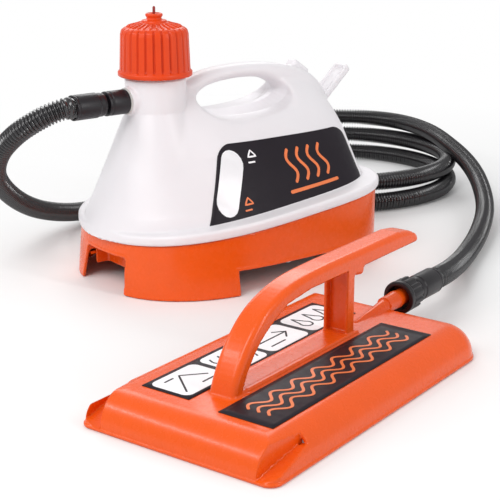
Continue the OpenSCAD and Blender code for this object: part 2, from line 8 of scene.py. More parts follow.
import bpy
import numpy as np
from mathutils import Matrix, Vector


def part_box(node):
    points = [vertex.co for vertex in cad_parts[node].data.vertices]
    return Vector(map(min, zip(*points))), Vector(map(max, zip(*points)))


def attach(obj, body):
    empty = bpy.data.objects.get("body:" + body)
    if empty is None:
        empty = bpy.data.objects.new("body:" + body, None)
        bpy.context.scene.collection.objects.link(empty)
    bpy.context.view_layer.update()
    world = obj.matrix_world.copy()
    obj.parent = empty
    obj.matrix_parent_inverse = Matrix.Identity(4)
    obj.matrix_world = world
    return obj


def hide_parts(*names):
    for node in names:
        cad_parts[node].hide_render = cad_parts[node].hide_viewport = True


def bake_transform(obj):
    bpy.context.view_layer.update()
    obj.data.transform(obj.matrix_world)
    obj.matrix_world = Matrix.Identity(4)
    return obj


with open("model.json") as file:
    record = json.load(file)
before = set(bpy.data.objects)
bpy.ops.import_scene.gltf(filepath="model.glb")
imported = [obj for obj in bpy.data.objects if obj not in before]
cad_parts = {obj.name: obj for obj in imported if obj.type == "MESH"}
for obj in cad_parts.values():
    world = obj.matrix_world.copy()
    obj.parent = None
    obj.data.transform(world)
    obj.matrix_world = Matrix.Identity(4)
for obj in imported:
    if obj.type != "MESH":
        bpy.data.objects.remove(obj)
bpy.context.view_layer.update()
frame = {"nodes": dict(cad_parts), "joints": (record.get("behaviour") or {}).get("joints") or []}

MM = 0.001
WALL = 3.4
SWIVEL_U = 210  # from the middle of the plate to the axis point of its swivel


def span(node):
    """Lowest and highest corner of a CAD node, in millimetres."""
    low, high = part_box(node)
    return np.array(low) / MM, np.array(high) / MM


def joint(name):
    return next(j for j in frame["joints"] if j["name"] == name)


# ---------------------------------------------------------------- places, most of them from the frame
skirt_low, skirt_high = span("base_skirt")
tank_low, tank_high = span("tank")
cap_low, cap_high = span("cap")
BASE_FRONT, BASE_REAR, BASE_HALF = -skirt_low[0], skirt_high[0], skirt_high[1]
SEAM_SLOPE = 0.098
SEAM_Z = skirt_high[2] - SEAM_SLOPE * BASE_REAR
FLANGE_H = 11.0
SIDE_X = 20.0
NECK_X = (cap_low[0] + cap_high[0]) / 2
NECK_R = 32.5
CAP_Z = cap_low[2]
CAP_RIM_R = (cap_high[0] - cap_low[0]) / 2
OUTLET_Z = (span("outlet_collar")[0][2] + span("outlet_collar")[1][2]) / 2

swivel = joint("plate_swivel")
PLATE_U = np.array(swivel["axis"], float)
PLATE_V = np.cross([0, 0, 1], PLATE_U)
SPOUT_Z = swivel["pos_m"][2] / MM
PLATE_AT = np.array(swivel["pos_m"]) / MM - SWIVEL_U * PLATE_U
PLATE_AT[2] = 0
PLATE_L, PLATE_W = 342.0, 196.0
PLATE_H = span("badge_label")[0][2]
GRIP_Z = span("steam_plate")[1][2]
GRIP_V, GRIP_W = -3.5, 26.0


def on_plate(p):
    """Points (u, v, z) on the plate as points in the row frame."""
    p = np.asarray(p, float)
    return PLATE_AT + p[..., :1] * PLATE_U + p[..., 1:2] * PLATE_V + p[..., 2:] * np.array([0, 0, 1])


# ---------------------------------------------------------------- curves
def spline(points, steps=8, closed=False):
    """A smooth curve through the points, with steps to a span."""
    p = np.asarray(points, float)
    if closed:
        p = np.vstack([p[-1:], p, p[:2]])
    else:
        p = np.vstack([2 * p[0] - p[1], p, 2 * p[-1] - p[-2]])
    t = np.arange(steps)[:, None] / steps
    parts = []
    for a, b, c, d in zip(p[:-3], p[1:-2], p[2:-1], p[3:]):
        parts.append(0.5 * (2 * b + (c - a) * t + (2 * a - 5 * b + 4 * c - d) * t**2
                            + (3 * b - a - 3 * c + d) * t**3))
    if not closed:
        parts.append(p[-2:-1])
    return np.vstack(parts)


def even(path, step):
    """The same path with points a fixed step apart."""
    gap = np.linalg.norm(np.diff(path, axis=0), axis=1)
    along = np.concatenate([[0], np.cumsum(gap)])
    count = max(2, int(round(along[-1] / step)) + 1)
    at = np.linspace(0, along[-1], count)
    return np.stack([np.interp(at, along, path[:, i]) for i in range(path.shape[1])], axis=1)


def smooth(t):
    t = np.clip(t, 0, 1)
    return t * t * (3 - 2 * t)


# ---------------------------------------------------------------- meshes
def make_mesh(name, points, faces, material, shade=True):
    mesh = bpy.data.meshes.new(name)
    mesh.from_pydata((np.asarray(points, float) * MM).tolist(), [], [list(f) for f in faces])
    mesh.validate()
    if shade:
        mesh.shade_smooth()
    obj = bpy.data.objects.new(name, mesh)
    bpy.context.scene.collection.objects.link(obj)
    obj.data.materials.append(material)
    return obj


def grid_faces(rows, columns, close_rows=False, close_columns=True):
    """Four-sided faces over a grid of points numbered row by row."""
    r = np.arange(rows if close_rows else rows - 1)
    c = np.arange(columns if close_columns else columns - 1)
    r, c = np.meshgrid(r, c, indexing="ij")
    r2, c2 = (r + 1) % rows, (c + 1) % columns
    corners = [r * columns + c, r * columns + c2, r2 * columns + c2, r2 * columns + c]
    return np.stack(corners, -1).reshape(-1, 4)


def lathe(name, profile, material, at, axis=(0, 0, 1), columns=96, shape=None):
    """Turns a profile of (radius, height) about an axis. shape may change radius and height by angle."""
    profile = np.asarray(profile, float)
    angle = 2 * math.pi * np.arange(columns) / columns
    radius = np.repeat(profile[:, :1], columns, 1)
    height = np.repeat(profile[:, 1:], columns, 1)
    if shape:
        radius, height = shape(radius, height, angle[None, :])
    z = np.asarray(axis, float) / np.linalg.norm(axis)
    x = np.cross([0, 1, 0] if abs(z[1]) < 0.9 else [1, 0, 0], z)
    x /= np.linalg.norm(x)
    y = np.cross(z, x)
    points = (np.asarray(at, float) + (radius * np.cos(angle))[..., None] * x
              + (radius * np.sin(angle))[..., None] * y + height[..., None] * z)
    closed = np.allclose(profile[0], profile[-1])
    rows = len(profile) - closed
    faces = grid_faces(rows, columns, close_rows=closed).tolist()
    if not closed:
        faces.append(list(range(columns))[::-1])
        faces.append(list(range((rows - 1) * columns, rows * columns)))
    return make_mesh(name, points[:rows].reshape(-1, 3), faces, material)


def bevelled(profile, size=0.6, steps=3):
    """Rounds the corners of a closed (radius, height) profile."""
    p = np.asarray(profile, float)
    out = []
    for a, b, c in zip(np.roll(p, 1, 0), p, np.roll(p, -1, 0)):
        into, away = (b - a), (c - b)
        li, la = np.linalg.norm(into), np.linalg.norm(away)
        s = min(size, li * 0.45, la * 0.45)
        p0, p2 = b - into / li * s, b + away / la * s
        for t in np.linspace(0, 1, steps + 1):
            out.append((1 - t) ** 2 * p0 + 2 * t * (1 - t) * b + t * t * p2)
    out.append(out[0])
    return np.array(out)


def sweep(name, path, radius, material, sides=20):
    """A tube along a path, with its own radius at each point. The section doesn't twist."""
    t = np.gradient(path, axis=0)
    t /= np.linalg.norm(t, axis=1)[:, None]
    side = np.cross(t[0], [0.1, 0.2, 1.0])
    rings = []
    for point, way, r in zip(path, t, radius):
        side = side - way * (side @ way)
        side /= np.linalg.norm(side)
        up = np.cross(way, side)
        a = 2 * math.pi * np.arange(sides) / sides
        rings.append(point + r * (np.cos(a)[:, None] * side + np.sin(a)[:, None] * up))
    n = len(path)
    faces = grid_faces(n, sides).tolist()
    faces.append(list(range(sides))[::-1])
    faces.append(list(range((n - 1) * sides, n * sides)))
    return make_mesh(name, np.vstack(rings), faces, material)


# ---------------------------------------------------------------- solids as distance functions
def join(a, b, k):
    """Union with a fillet of about k."""
    h = np.clip(0.5 + 0.5 * (b - a) / k, 0, 1)
    return b + (a - b) * h - k * h * (1 - h)


def keep(a, b, k):
    """Intersection with its edge rounded by about k."""
    return -join(-a, -b, k)


def cut(a, b, k):
    """a with b cut out of it, its edge rounded by about k."""
    return keep(a, -b, k)


def box_distance(x, y, z, centre, half, r=1.0):
    q = [abs(v - c) - (h - r) for v, c, h in zip((x, y, z), centre, half)]
    outside = np.sqrt(sum(np.maximum(v, 0) ** 2 for v in q))
    return outside + np.minimum(np.maximum(np.maximum(q[0], q[1]), q[2]), 0) - r


def polygon_distance(x, y, points):
    """Signed distance to a closed polygon, below 0 inside."""
    p = np.asarray(points, float)
    best = 1e9
    inside = np.zeros(np.broadcast(x, y).shape, bool)
    for (ax, ay), (bx, by) in zip(p, np.roll(p, -1, 0)):
        ex, ey = bx - ax, by - ay
        wx, wy = x - ax, y - ay
        t = np.clip((wx * ex + wy * ey) / (ex * ex + ey * ey + 1e-12), 0, 1)
        best = np.minimum(best, (wx - ex * t) ** 2 + (wy - ey * t) ** 2)
        crosses = ((ay > y) != (by > y)) & (x < ex * (y - ay) / (ey if ey else 1e-12) + ax)
        inside ^= crosses
    return np.where(inside, -1, 1) * np.sqrt(best)


def slab(flat, across, r):
    """A flat shape given depth, with its rims rounded by r."""
    a, b = flat + r, across + r
    return np.sqrt(np.maximum(a, 0) ** 2 + np.maximum(b, 0) ** 2) + np.minimum(np.maximum(a, b), 0) - r


def surface(name, distance, low, high, cell, material, place=None):
    """A smooth mesh of where distance is 0.

    Each grid cell that the surface crosses gets one point, which is then pulled onto the surface.
    """
    low = np.asarray(low, float) - 0.37 * cell  # keeps the grid's planes off flat faces
    counts = [int(math.ceil((h - l) / cell)) + 2 for l, h in zip(low, high)]
    axes = [l + cell * np.arange(n) for l, n in zip(low, counts)]
    value = distance(axes[0][:, None, None], axes[1][None, :, None], axes[2][None, None, :])
    value = np.broadcast_to(value, counts).astype(np.float32)
    inside = value < 0
    corners = [(i, j, k) for i in (0, 1) for j in (0, 1) for k in (0, 1)]
    cells = [n - 1 for n in counts]
    filled = sum(inside[i:i + cells[0], j:j + cells[1], k:k + cells[2]].astype(np.int8)
                 for i, j, k in corners)
    active = (filled > 0) & (filled < 8)
    ids = np.full(cells, -1, np.int64)
    ids[active] = np.arange(active.sum())
    where = np.argwhere(active)
    total, hits = np.zeros((len(where), 3)), np.zeros(len(where))
    for a in corners:
        for axis in range(3):
            if a[axis]:
                continue
            b = list(a)
            b[axis] = 1
            fa = value[tuple((where + a).T)]
            fb = value[tuple((where + b).T)]
            crossing = (fa < 0) != (fb < 0)
            t = np.where(crossing, fa / np.where(crossing, fa - fb, 1), 0)
            point = np.array(a, float)[None, :].repeat(len(where), 0)
            point[:, axis] += t
            total += point * crossing[:, None]
            hits += crossing
    points = low + cell * (where + total / hits[:, None])
    faces = []
    for axis in range(3):
        one, two = (axis + 1) % 3, (axis + 2) % 3
        step = [0, 0, 0]
        step[axis] = 1
        a = inside[:counts[0] - step[0], :counts[1] - step[1], :counts[2] - step[2]]
        b = inside[step[0]:, step[1]:, step[2]:]
        edge = np.argwhere(a != b)
        past_low = (edge[:, one] > 0) & (edge[:, two] > 0)
        short_of_high = (edge[:, one] < cells[one]) & (edge[:, two] < cells[two])
        edge = edge[past_low & short_of_high]
        flip = a[tuple(edge.T)]
        ring = []
        for d1, d2 in ((-1, -1), (0, -1), (0, 0), (-1, 0)):
            c = edge.copy()
            c[:, one] += d1
            c[:, two] += d2
            ring.append(ids[tuple(c.T)])
        quad = np.stack(ring, 1)
        quad[~flip] = quad[~flip][:, ::-1]
        faces.append(quad)
    faces = np.vstack(faces)
    start, stop = faces.ravel(), np.roll(faces, -1, 1).ravel()
    degree = np.bincount(start, minlength=len(points))[:, None]

    def pull(p, h=0.15):
        """The points moved onto the surface, and the surface's normals there."""
        x, y, z = p.T
        d = distance(x, y, z)
        slope = np.stack([distance(x + h, y, z) - distance(x - h, y, z),
                          distance(x, y + h, z) - distance(x, y - h, z),
                          distance(x, y, z + h) - distance(x, y, z - h)], 1) / (2 * h)
        size = np.maximum(np.linalg.norm(slope, axis=1), 0.2)[:, None]
        step = np.clip(d[:, None] / size, -0.6 * cell, 0.6 * cell)
        return p - slope / size * step, slope / size

    for _ in range(3):
        points, normal = pull(points)
        mean = np.stack([np.bincount(start, points[stop, i], len(points)) for i in range(3)], 1) / degree
        move = mean - points
        points = points + 0.6 * (move - normal * (move * normal).sum(1, keepdims=True))
    for _ in range(3):
        points, normal = pull(points)
    if place:
        points, normal = place(points), place(normal) - place(np.zeros(3))
    obj = make_mesh(name, points, faces, material)
    if len(obj.data.vertices) == len(normal):
        obj.data.normals_split_custom_set_from_vertices(normal.tolist())
    return obj


# ---------------------------------------------------------------- materials
def material(name, colour, rough=0.4, vary=0.06, scale=60.0, bump=0.02, grain=900.0, coat=0.0, metal=0.0,
             subsurface=0.0, rough_vary=0.12, specular=0.5):
    """Moulded or metal finish: drifting colour, uneven gloss and fine grain."""
    mat = bpy.data.materials.new(name)
    mat.use_nodes = True
    nodes, links = mat.node_tree.nodes, mat.node_tree.links
    shader = nodes["Principled BSDF"]
    where = nodes.new("ShaderNodeTexCoord").outputs["Object"]

    def noise(size, detail):
        node = nodes.new("ShaderNodeTexNoise")
        node.inputs["Scale"].default_value = size
        node.inputs["Detail"].default_value = detail
        links.new(where, node.inputs["Vector"])
        return node.outputs["Fac"]

    def spread(value, low, high):
        node = nodes.new("ShaderNodeMapRange")
        node.inputs["From Min"].default_value = 0.3
        node.inputs["From Max"].default_value = 0.7
        node.inputs["To Min"].default_value = low
        node.inputs["To Max"].default_value = high
        links.new(value, node.inputs["Value"])
        return node.outputs["Result"]

    slow = noise(scale, 3)
    tint = nodes.new("ShaderNodeMix")
    tint.data_type = "RGBA"
    tint.inputs["A"].default_value = (*[c * (1 - vary) for c in colour], 1)
    tint.inputs["B"].default_value = (*[min(1, c * (1 + vary)) for c in colour], 1)
    links.new(spread(slow, 0, 1), tint.inputs["Factor"])
    links.new(tint.outputs["Result"], shader.inputs["Base Color"])
    links.new(spread(noise(scale * 2.3, 4), rough * (1 - rough_vary), rough * (1 + rough_vary)),
              shader.inputs["Roughness"])
    shader.inputs["Metallic"].default_value = metal
    shader.inputs["Specular IOR Level"].default_value = specular
    shader.inputs["Coat Weight"].default_value = coat
    shader.inputs["Coat Roughness"].default_value = 0.12
    if subsurface:
        shader.inputs["Subsurface Weight"].default_value = subsurface
        shader.inputs["Subsurface Radius"].default_value = (1.0, 0.95, 0.95)
        shader.inputs["Subsurface Scale"].default_value = 0.006
    relief = nodes.new("ShaderNodeBump")
    relief.inputs["Strength"].default_value = bump
    relief.inputs["Distance"].default_value = 0.0004
    links.new(noise(grain, 2), relief.inputs["Height"])
    links.new(relief.outputs["Normal"], shader.inputs["Normal"])
    return mat


ORANGE = material("orange_plastic", (0.80, 0.092, 0.004), rough=0.27, vary=0.02, coat=0.15, bump=0.02,
                  specular=0.3)
CAP_ORANGE = material("cap_plastic", (0.72, 0.056, 0.006), rough=0.36, vary=0.03, coat=0.05, bump=0.03,
                      specular=0.25)
TANK = material("tank_plastic", (0.79, 0.765, 0.79), rough=0.36, vary=0.012, scale=25, subsurface=0.3,
                bump=0.02, grain=500)
BLACK = material("black_plastic", (0.012, 0.010, 0.013), rough=0.34, vary=0.15, bump=0.04, specular=0.4)
HOSE = material("hose_black", (0.012, 0.011, 0.013), rough=0.2, vary=0.15, bump=0.0, coat=0.6)
LABEL = material("label_dark", (0.013, 0.009, 0.014), rough=0.45, vary=0.05, bump=0.02, specular=0.2)
PRINT_ORANGE = material("print_orange", (0.80, 0.19, 0.055), rough=0.42, vary=0.05, bump=0.02)
PRINT_WHITE = material("print_white", (0.88, 0.88, 0.90), rough=0.40, vary=0.02, bump=0.02)
WINDOW = material("level_window", (0.90, 0.90, 0.93), rough=0.22, vary=0.02, subsurface=0.2, bump=0.02)
STEEL = material("steel", (0.60, 0.60, 0.62), rough=0.3, metal=1.0, vary=0.08, bump=0.1, grain=2000)
BRASS = material("brass", (0.75, 0.52, 0.22), rough=0.25, metal=1.0, vary=0.08, bump=0.05)
RUBBER = material("rubber_black", (0.025, 0.025, 0.026), rough=0.7, vary=0.15, bump=0.2)
SEAL = material("rubber_grey", (0.55, 0.54, 0.52), rough=0.6, vary=0.08, bump=0.15)
PIN_RED = material("pin_red", (0.30, 0.035, 0.03), rough=0.35, metal=0.4, vary=0.1, bump=0.05)
IVORY = material("ivory_plastic", (0.70, 0.66, 0.54), rough=0.5, vary=0.05, bump=0.1)
BROWN = material("wire_brown", (0.16, 0.06, 0.025), rough=0.5, vary=0.1, bump=0.1)
BLUE = material("wire_blue", (0.03, 0.10, 0.42), rough=0.5, vary=0.1, bump=0.1)
GREEN = material("wire_green", (0.12, 0.40, 0.06), rough=0.5, vary=0.1, bump=0.1)

CARRIED = {
    "cover_screws": STEEL, "tank_screws": STEEL, "element_nuts": STEEL, "cutout_screws": STEEL,
    "clamp_screws": STEEL, "heating_element": STEEL, "relief_pin": PIN_RED,
    "element_gasket": RUBBER, "cable_grommet": RUBBER, "spout_ring": RUBBER, "mains_cable": RUBBER,
    "cap_seal": SEAL, "valve_seat": SEAL, "outlet_spigot": BLACK, "outlet_nut": BLACK,
    "outlet_washer": SEAL, "plug_body": BLACK, "thermal_cutout": BLACK, "terminal_block": IVORY,
    "cable_clamp": IVORY, "plug_pins": BRASS, "live_wire": BROWN, "neutral_wire": BLUE,
    "earth_wire": GREEN, "base_cover": ORANGE,
}
for node, finish in CARRIED.items():
    cad = frame["nodes"][node]
    cad.data.materials.clear()
    cad.data.materials.append(finish)


def stand_for(obj, body, slot, *nodes):
    """Puts a piece on a body and in place of the CAD nodes named. The slot is not used."""
    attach(obj, body)
    if nodes:
        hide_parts(*nodes)
    return obj


# ---------------------------------------------------------------- boiler
def outline_distance(x, y, front, rear, half, mid=SIDE_X, ahead_n=2.55):
    """How far a point is outside the base's rounded outline: round in front, squarer behind."""
    dx = x - mid
    ahead = dx < 0
    length = np.where(ahead, front + mid, rear - mid)
    n = np.where(ahead, ahead_n, 4.0)
    g = ((abs(dx) / length) ** n + (abs(y) / half) ** n) ** (1 / n)
    r = np.sqrt(dx * dx + y * y)
    return r - r / np.maximum(g, 1e-3)


# The tank's sections: height, slope, then how far each reaches in front, behind and to a side.
SECTIONS = np.array([
    [40, 0.098, 166, 152, 116], [SEAM_Z + FLANGE_H - 1, 0.098, 160, 150, 106], [100, 0.080, 155, 147, 97],
    [120, 0.050, 148, 144, 86], [145, 0.020, 138, 141, 70], [165, 0, 129, 136, 54], [180, 0, 121, 128, 39],
    [192, 0, 112, 116, 27], [204, 0, 98, 100, 14]])
FINE = spline(SECTIONS, 12)
# These turn a distance measured level into one square to a leaning wall.
SIDE_LEAN = 0.88
NECK_LEAN = 0.89


def tank_body(x, y, z):
    slope = np.interp(z, FINE[:, 0], FINE[:, 1])
    level = z - slope * x
    front, rear, half = (np.interp(level, FINE[:, 0], FINE[:, i]) for i in (2, 3, 4))
    roundness = np.interp(level, [95, 140], [2.55, 2.0])
    side = outline_distance(x, y, front, rear, half, SIDE_X * 0.4, roundness) * SIDE_LEAN
    return keep(side, z - 198, 16)


# Side views (x, z) of the handle's ridge and of the hand hole under it.
RIDGE = np.vstack([spline([[-66, 206], [-35, 217], [0, 222], [45, 221.5], [85, 215], [118, 203], [138, 184],
                           [147, 160]], 5), [[90, 150], [-66, 150]]])
GRIP_HOLE = spline([[-44, 190], [-27, 202], [10, 207], [48, 204], [70, 190], [50, 178.5], [8, 175],
                    [-28, 178]], 5, closed=True)


def tank_outer(x, y, z):
    body = tank_body(x, y, z)
    ridge = slab(polygon_distance(x, z, RIDGE), abs(y) - 14.5, 11)
    body = join(body, ridge, 14)
    # below this height the neck widens and meets the flat sides in a V
    neck_foot = 183
    down = np.maximum(neck_foot - z, 0)
    neck = np.sqrt((x - NECK_X - 0.11 * down) ** 2 + y * y) - NECK_R - 0.5 * down
    neck = neck * np.where(z < neck_foot, NECK_LEAN, 1)
    neck = keep(neck, z - (CAP_Z - 2), 2)
    body = join(body, neck, 2.5)
    boss = np.sqrt(y * y + (z - OUTLET_Z) ** 2) - 14.5
    boss = keep(boss, np.abs(x - (NECK_X - 16)) - (NECK_R + 4.5 - 16), 1.5)
    body = join(body, boss, 2)
    hole = polygon_distance(x, z, GRIP_HOLE) - 0.4 * np.clip(abs(y) - 4, 0, 15)
    body = cut(body, hole, 7)
    # the flange that sits on the base; the body stops just inside it
    rim = outline_distance(x, y, BASE_FRONT + 2.5, BASE_REAR + 2.5, BASE_HALF + 2.5)
    up = z - SEAM_SLOPE * x - SEAM_Z
    flange = keep(rim, np.abs(up - FLANGE_H / 2) - FLANGE_H / 2, 4)
    body = join(keep(body, -(up - 1), 1), flange, 2.2)
    return body


def tank_hooks(x, y, z):
    """The nub behind the handle and the dished paddle below it."""
    def turned(px, py, pz, degrees):
        """The point seen from a frame at (px, py, pz) leaning by some degrees."""
        a = math.radians(degrees)
        dx, dz = x - px, z - pz
        return dx * math.cos(a) - dz * math.sin(a), y - py, dx * math.sin(a) + dz * math.cos(a)
    nub = box_distance(*turned(112, 9, 206, 35), (0, 0, 0), (13, 7, 7), 3)
    nub = cut(nub, box_distance(*turned(116, 9, 211, 35), (0, 0, 2), (9, 4, 5), 1.5), 1)
    u, v, w = turned(132, 14, 151, 47.8)
    paddle = box_distance(u, v, w, (0, 0, 33), (5, 11, 43), 3)
    dish = box_distance(u, v, w, (-5, 0, 48), (3, 8, 23), 2)
    return np.minimum(nub, cut(paddle, dish, 1.5))


def tank_distance(x, y, z):
    outer = join(tank_outer(x, y, z), tank_hooks(x, y, z), 4)
    bore = keep(np.sqrt((x - NECK_X) ** 2 + y * y) - 26, 140 - z, 1)
    inner = keep(tank_body(x, y, z) + 2 * WALL, z - 156, 3)
    inner = keep(inner, (SEAM_Z + SEAM_SLOPE * x + 4) - z, 2)
    outlet = np.maximum(np.sqrt(y * y + (z - OUTLET_Z) ** 2) - 8.2, x - NECK_X)
    neck_top = keep(np.sqrt((x - NECK_X) ** 2 + y * y) - 30, np.abs(z - 228) - 22, 1.2)
    outer = join(outer, neck_top, 1)
    return cut(cut(cut(outer, inner, 2), bore, 1), outlet, 0.6)


tank = surface("tank_shell", tank_distance, tank_low - 6, tank_high + [6, 6, 2], 2.0, TANK)
stand_for(tank, "boiler", "tank_plastic", "tank")


def skirt_distance(x, y, z):
    grow = 4.5 * (1 - np.clip(z / 55, 0, 1)) * smooth(-x / 120) - 0.4
    outer = outline_distance(x, y, BASE_FRONT + grow, BASE_REAR + grow, BASE_HALF + grow)
    shell = cut(outer, outer + WALL, 0.8)
    seam = z - SEAM_SLOPE * x - (SEAM_Z - 0.4)

    def opening(grown):
        """The cut-outs at the sides and the rear, grown on all sides."""
        side = np.maximum(np.abs(x - 16) - 81 - grown - 0.05 * z, z - 27 - grown)
        side = np.maximum(side, 60 - np.abs(y))
        rear = np.maximum(np.maximum(np.abs(y) - 50 - grown, z - 27 - grown), 120 - x)
        return np.minimum(side, rear)

    reveal = keep(keep(opening(3.2), outer, 0.8), -(outer + 9), 0.8)
    pocket = box_distance(x, y, z, (-190, -7.5, 10), (53, 34.5, 30), 3)
    flared_side = np.maximum(y - 27 - 0.3 * (40 - z), 20 - y)
    pocket = np.minimum(pocket, np.maximum(flared_side, np.maximum(z - 38, x + 152)))
    walls = keep(box_distance(x, y, z, (-190, -7.5, 29.5), (56, 37.5, 13.5), 4), outer, 0.8)
    solid = join(join(shell, reveal, 1.2), walls, 1.5)
    solid = keep(solid, seam, 1.2)
    solid = keep(solid, -z, 1.0)
    return cut(cut(solid, opening(0), 1.2), pocket, 1.2)


skirt = surface("base_shell", skirt_distance, skirt_low - 3, skirt_high + 3, 1.6, ORANGE)
stand_for(skirt, "boiler", "orange_plastic", "base_skirt")


# ---------------------------------------------------------------- printed labels
def on_tank(points, lift):
    """Points (x, z) laid on the label side of the tank, lift millimetres proud of it."""
    p = np.asarray(points, float)
    x, z = p[:, 0], p[:, 1]
    y = np.full(len(p), -150.0)
    for _ in range(40):
        d = tank_body(x, y, z)
        y = y + np.clip(d - lift, -6, 6) * 0.9
    return np.stack([x, y, z], 1)


def on_top(points, lift):
    """Points (u, v) laid on the plate's top face."""
    p = np.asarray(points, float)
    return on_plate(np.stack([p[:, 0], p[:, 1], np.full(len(p), PLATE_H + lift)], 1))


def sheet(name, left, right, low, high, lay, lift, finish, thick=0.35, rows=28, columns=48):
    """A thin sheet between two side curves, with a real edge."""
    t = 0.5 - 0.5 * np.cos(np.linspace(0, math.pi, rows))
    heights = low + (high - low) * t
    s = np.linspace(0, 1, columns)
    rows_of = zip(heights, left(heights), right(heights))
    flat = np.array([[l + (r - l) * k, h] for h, l, r in rows_of for k in s])
    top, under = lay(flat, lift), lay(flat, lift - thick)
    n = rows * columns
    faces = grid_faces(rows, columns, close_columns=False)
    edge = (list(range(columns)) + [i * columns + columns - 1 for i in range(1, rows)]
            + [(rows - 1) * columns + i for i in range(columns - 2, -1, -1)]
            + [i * columns for i in range(rows - 2, 0, -1)])
    rim = [[a, a + n, b + n, b] for a, b in zip(edge, edge[1:] + edge[:1])]
    faces = faces.tolist() + (faces[:, ::-1] + n).tolist() + rim
    return make_mesh(name, np.vstack([top, under]), faces, finish)


def stroke(name, paths, width, lay, lift, finish, thick=0.25, step=1.6):
    """Printed lines of one width along flat paths, with round ends. A path whose ends meet is closed."""
    points, faces = [], []
    for path in paths:
        p = np.asarray(path, float)
        closed = np.allclose(p[0], p[-1])
        p = even(p, step)
        if closed:
            t = np.roll(p[:-1], -1, 0) - np.roll(p[:-1], 1, 0)
            p = p[:-1]
        else:
            t = np.gradient(p, axis=0)
        t /= np.linalg.norm(t, axis=1)[:, None]
        across = np.stack([-t[:, 1], t[:, 0]], 1)
        half = np.full(len(p), width / 2)
        if not closed:
            caps = 4
            turn = np.linspace(0, math.pi / 2, caps + 1)[:-1]
            head = p[0] - t[0] * (width / 2) * np.cos(turn)[:, None]
            tail = p[-1] + t[-1] * (width / 2) * np.cos(turn)[::-1][:, None]
            across = np.vstack([np.repeat(across[:1], caps, 0), across, np.repeat(across[-1:], caps, 0)])
            narrow = np.sin(turn) * width / 2 + 0.02
            half = np.concatenate([narrow, half, narrow[::-1]])
            p = np.vstack([head, p, tail])
        one, two = p + across * half[:, None], p - across * half[:, None]
        rows = [lay(one, lift), lay(two, lift), lay(two, lift - thick), lay(one, lift - thick)]
        base, n = len(points), len(p)
        points.extend(np.stack(rows, 1).reshape(-1, 3))
        faces.extend((grid_faces(n, 4, close_rows=closed) + base).tolist())
        if not closed:
            faces.append([base, base + 1, base + 2, base + 3])
            faces.append([base + 4 * (n - 1) + i for i in (3, 2, 1, 0)])
    return make_mesh(name, points, faces, finish, shade=False)


LABEL_FOOT, LABEL_TOP = 84.0, 150.0


def corner(distance, radius):
    """How far a rounded corner draws in, at a distance from its edge."""
    d = np.clip(distance, 0, radius)
    return radius - np.sqrt(np.maximum(radius ** 2 - (radius - d) ** 2, 0))


def label_left(z):
    return -88 + 0.56 * (z - LABEL_FOOT) + corner(LABEL_TOP - z, 12)


def label_right(z):
    return 126 - 0.07 * (z - LABEL_FOOT) - corner(LABEL_TOP - z, 14) * 1.2


def lay_label(points, lift):
    """Label points have z counted from a foot that follows the seam."""
    p = np.asarray(points, float).copy()
    share = np.clip((LABEL_TOP - p[:, 1]) / (LABEL_TOP - LABEL_FOOT), 0, 1)
    p[:, 1] += (SEAM_SLOPE * p[:, 0] + SEAM_Z + FLANGE_H + 1 - LABEL_FOOT) * share
    return on_tank(p, lift)


label = sheet("tank_label_film", label_left, label_right, LABEL_FOOT, LABEL_TOP, lay_label, 0.5, LABEL)
stand_for(label, "boiler", "label_dark", "tank_label")
window = stroke("level_window_pane", [[(-63, 99), (-43, 133)]], 23, lay_label, 0.9, WINDOW, 0.5)
stand_for(window, "boiler", "label_light")


def level_mark(x, z):
    """A tick at a level, with a pointer above it: no lettering."""
    tick = [(x, z), (x + 7, z)]
    pointer = [(x + 1, z + 5), (x + 6, z + 11), (x + 11, z + 5), (x + 1, z + 5)]
    return [tick, pointer]


marks_white = stroke("full_mark", level_mark(-24, 131), 1.5, lay_label, 0.75, PRINT_WHITE)
stand_for(marks_white, "boiler", "label_light")
marks_orange = stroke("low_mark", level_mark(-45, 90), 1.5, lay_label, 0.75, PRINT_ORANGE)
stand_for(marks_orange, "boiler", "orange_plastic")


def steam_waves(x, y, height, gap, count=3):
    """Rising steam: wavy lines over a bar."""
    t = np.linspace(0, 1, 24)
    sway = gap * 0.28 * np.sin(2 * math.pi * t)
    paths = [np.stack([x + gap * k + sway, y + height * t], 1) for k in range(count)]
    bar = y - height * 0.28
    return paths + [[(x - gap * 0.7, bar), (x + gap * (count - 0.3), bar)]]


emblem = stroke("label_emblem", steam_waves(28, 104, 32, 15, 4), 3.4, lay_label, 0.75, PRINT_ORANGE)
stand_for(emblem, "boiler", "orange_plastic")


# ---------------------------------------------------------------- cap
RIBS = 26


def cap_shape(radius, height, angle):
    """Grooves down the cap's side and fins on its dome."""
    phase = (angle * RIBS / (2 * math.pi)) % 1
    groove = smooth((np.abs(phase - 0.5) - 0.33) / 0.06)
    rise = smooth((height - CAP_Z - 5.8) / 1.2) * smooth((CAP_Z + 50.5 - height) / 2)
    side = smooth((radius - 28) / 2)
    radius = radius - 2.6 * groove * rise * side
    fin = smooth((0.16 - np.abs(phase - 0.5)) / 0.05)
    dome = smooth((radius - 15) / 2) * smooth((30 - radius) / 2) * smooth((height - CAP_Z - 48) / 2)
    return radius, height + 1.3 * fin * dome


